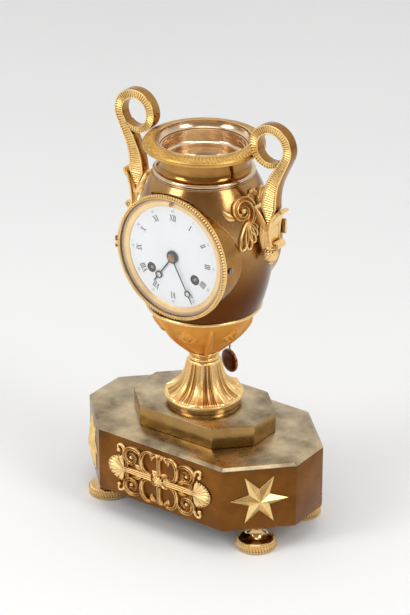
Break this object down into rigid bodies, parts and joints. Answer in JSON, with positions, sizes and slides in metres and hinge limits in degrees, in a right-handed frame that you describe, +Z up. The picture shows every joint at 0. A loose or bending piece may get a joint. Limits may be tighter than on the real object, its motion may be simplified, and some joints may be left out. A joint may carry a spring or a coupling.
{
  "type": "mantel clock",
  "caption": "Urn-shaped cassolette clock on an octagonal plinth with scroll handles, hinged bezel, hands, going train and free pendulum",
  "frame": {"origin": "centre of the bounding box's base: the plane that the four feet stand on", "axes": "+Z up, dial faces -Y, +X toward the handle on the viewer's right"},
  "size_m": [0.17, 0.1041, 0.289],
  "materials": {
    "satin_brass": "satin, brushed along its length, brownish",
    "patina_brass": "tarnished, olive grey and slightly blotchy",
    "polished_brass": "mirror polished, warm",
    "gilt_brass": "bright gilt, crisp relief",
    "matt_gilding": "matt orange gilding",
    "rose_brass": "polished, pinkish brown",
    "steel": "turned and polished",
    "blued_steel": "dark blued",
    "glass": "clear, domed",
    "enamel": "white, glossy, with black numerals",
    "movement_brass": "fine grained",
    "dark_bronze": "dark brown, polished"
  },
  "bodies": {
    "case": {"plinth_box": "satin_brass", "plinth_top": "patina_brass", "upper_block": "patina_brass", "feet": "gilt_brass", "foot_nuts": "steel", "star_left": "gilt_brass", "star_right": "gilt_brass", "scroll_mount": "gilt_brass", "pedestal_band": "polished_brass", "pedestal_foot": "gilt_brass", "knop": "polished_brass", "bowl": "matt_gilding", "bead_ring": "polished_brass", "tie_rod": "steel", "tie_nuts": "steel", "urn_body": "polished_brass", "shoulder_ring": "gilt_brass", "neck": "rose_brass", "rim_ring": "gilt_brass", "mouth_liner": "rose_brass", "handle_left": "gilt_brass", "handle_right": "gilt_brass", "handle_cup_left": "gilt_brass", "handle_cup_right": "gilt_brass", "side_mount_left": "gilt_brass", "side_mount_right": "gilt_brass", "drum_case": "polished_brass", "case_screws": "steel", "hinge_pins": "steel", "sight_ring": "gilt_brass", "dial_carrier": "movement_brass", "dial": "enamel", "winding_eyelets": "gilt_brass", "front_plate": "movement_brass", "back_plate": "movement_brass", "pillars": "movement_brass", "suspension_cock": "movement_brass", "bell": "movement_brass"},
    "regulator": {"regulator_arbor": "steel"},
    "bezel": {"bezel": "gilt_brass", "bezel_glass": "glass"},
    "rear_cover": {"rear_cover": "movement_brass"},
    "minute_hand": {"minute_hand": "blued_steel", "hand_collet": "blued_steel", "cannon_pinion": "steel"},
    "hour_hand": {"hour_hand": "blued_steel", "hour_wheel": "movement_brass"},
    "minute_wheel": {"minute_wheel": "movement_brass"},
    "going_arbor": {"going_arbor": "steel"},
    "strike_arbor": {"strike_arbor": "steel"},
    "going_barrel": {"going_barrel": "movement_brass"},
    "strike_barrel": {"strike_barrel": "movement_brass"},
    "second_wheel": {"second_wheel": "movement_brass"},
    "centre_wheel": {"centre_wheel": "movement_brass"},
    "third_wheel": {"third_wheel": "movement_brass"},
    "escape_wheel": {"escape_wheel": "movement_brass"},
    "pendulum": {"pendulum_rod": "steel", "pendulum_bob": "dark_bronze"},
    "anchor": {"anchor": "steel"},
    "hammer": {"hammer": "movement_brass"}
  },
  "joints": [
    {"name": "bezel_hinge", "type": "hinge", "parent": "case", "child": "bezel", "pos_m": [-0.044, -0.0355, 0.1964], "axis": [0, 0, -1], "range_deg": [0, 110]},
    {"name": "rear_cover_hinge", "type": "hinge", "parent": "case", "child": "rear_cover", "pos_m": [-0.0408, 0.0293, 0.1964], "axis": [0, 0, 1], "range_deg": [0, 100]},
    {"name": "minute_turn", "type": "hinge", "parent": "case", "child": "minute_hand", "pos_m": [0, -0.029, 0.1964], "axis": [0, 1, 0], "continuous": true},
    {"name": "hour_turn", "type": "hinge", "parent": "case", "child": "hour_hand", "pos_m": [0, -0.029, 0.1964], "axis": [0, 1, 0], "continuous": true},
    {"name": "minute_wheel_turn", "type": "hinge", "parent": "case", "child": "minute_wheel", "pos_m": [-0.00727, -0.029, 0.2006], "axis": [0, 1, 0], "continuous": true},
    {"name": "going_wind", "type": "hinge", "parent": "case", "child": "going_arbor", "pos_m": [0.0171, -0.029, 0.1846], "axis": [0, 1, 0], "continuous": true},
    {"name": "strike_wind", "type": "hinge", "parent": "case", "child": "strike_arbor", "pos_m": [-0.0171, -0.029, 0.1846], "axis": [0, 1, 0], "continuous": true},
    {"name": "going_barrel_turn", "type": "hinge", "parent": "case", "child": "going_barrel", "pos_m": [0.0171, -0.029, 0.1846], "axis": [0, 1, 0], "continuous": true},
    {"name": "strike_barrel_turn", "type": "hinge", "parent": "case", "child": "strike_barrel", "pos_m": [-0.0171, -0.029, 0.1846], "axis": [0, 1, 0], "continuous": true},
    {"name": "second_wheel_turn", "type": "hinge", "parent": "case", "child": "second_wheel", "pos_m": [0.01242, -0.029, 0.20011], "axis": [0, 1, 0], "continuous": true},
    {"name": "centre_wheel_turn", "type": "hinge", "parent": "case", "child": "centre_wheel", "pos_m": [0, -0.029, 0.1964], "axis": [0, 1, 0], "continuous": true},
    {"name": "third_wheel_turn", "type": "hinge", "parent": "case", "child": "third_wheel", "pos_m": [-0.00716, -0.029, 0.20662], "axis": [0, 1, 0], "continuous": true},
    {"name": "escape_wheel_turn", "type": "hinge", "parent": "case", "child": "escape_wheel", "pos_m": [0, -0.029, 0.21343], "axis": [0, 1, 0], "continuous": true},
    {"name": "pendulum_swing", "type": "hinge", "parent": "case", "child": "pendulum", "pos_m": [0, 0.0296, 0.2232], "axis": [0, 1, 0], "range_deg": [-4, 4]},
    {"name": "anchor_swing", "type": "hinge", "parent": "case", "child": "anchor", "pos_m": [0, 0.0296, 0.2232], "axis": [0, 1, 0], "range_deg": [-4, 4]},
    {"name": "hammer_lift", "type": "hinge", "parent": "case", "child": "hammer", "pos_m": [-0.02861, 0.03, 0.191], "axis": [0, 1, 0], "range_deg": [0, 15]},
    {"name": "regulator_turn", "type": "hinge", "parent": "case", "child": "regulator", "pos_m": [0, 0, 0.2334], "axis": [0, 1, 0], "continuous": true}
  ],
  "couplings": [
    {"joint": "minute_wheel_turn", "follows": "minute_turn", "ratio": -0.33333},
    {"joint": "hour_turn", "follows": "minute_turn", "ratio": 0.083333},
    {"joint": "centre_wheel_turn", "follows": "third_wheel_turn", "ratio": -0.083333},
    {"joint": "second_wheel_turn", "follows": "third_wheel_turn", "ratio": 0.010417},
    {"joint": "going_barrel_turn", "follows": "third_wheel_turn", "ratio": -0.0013021},
    {"joint": "escape_wheel_turn", "follows": "third_wheel_turn", "ratio": -11.667},
    {"joint": "anchor_swing", "follows": "pendulum_swing", "ratio": 1}
  ]
}
